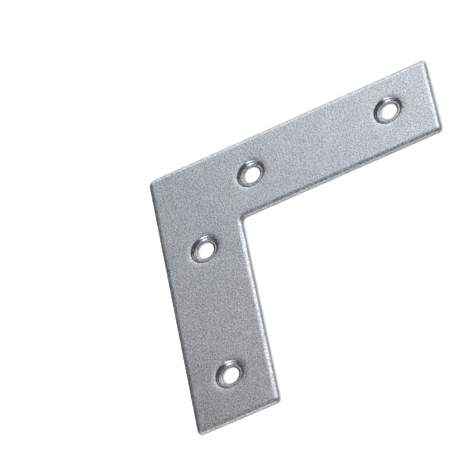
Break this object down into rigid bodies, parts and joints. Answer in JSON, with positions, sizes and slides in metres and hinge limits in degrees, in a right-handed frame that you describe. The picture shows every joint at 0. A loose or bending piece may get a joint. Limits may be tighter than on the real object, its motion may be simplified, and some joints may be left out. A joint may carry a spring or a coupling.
{
  "type": "flat corner plate",
  "caption": "Flat L-shaped corner plate of thin zinc-plated steel with countersunk screw holes along both arms, for holding the corner joint of a frame or box.",
  "frame": {"origin": "on the back face, at the elbow where the centrelines of the two arms cross", "axes": "+Z out of the countersunk face; one arm runs along +X and the other along +Y"},
  "size_m": [0.07, 0.07, 0.0012],
  "materials": {
    "zinc_plate": "satin zinc plating with a fine speckle"
  },
  "bodies": {
    "root": {"corner_plate": "zinc_plate"}
  },
  "joints": []
}
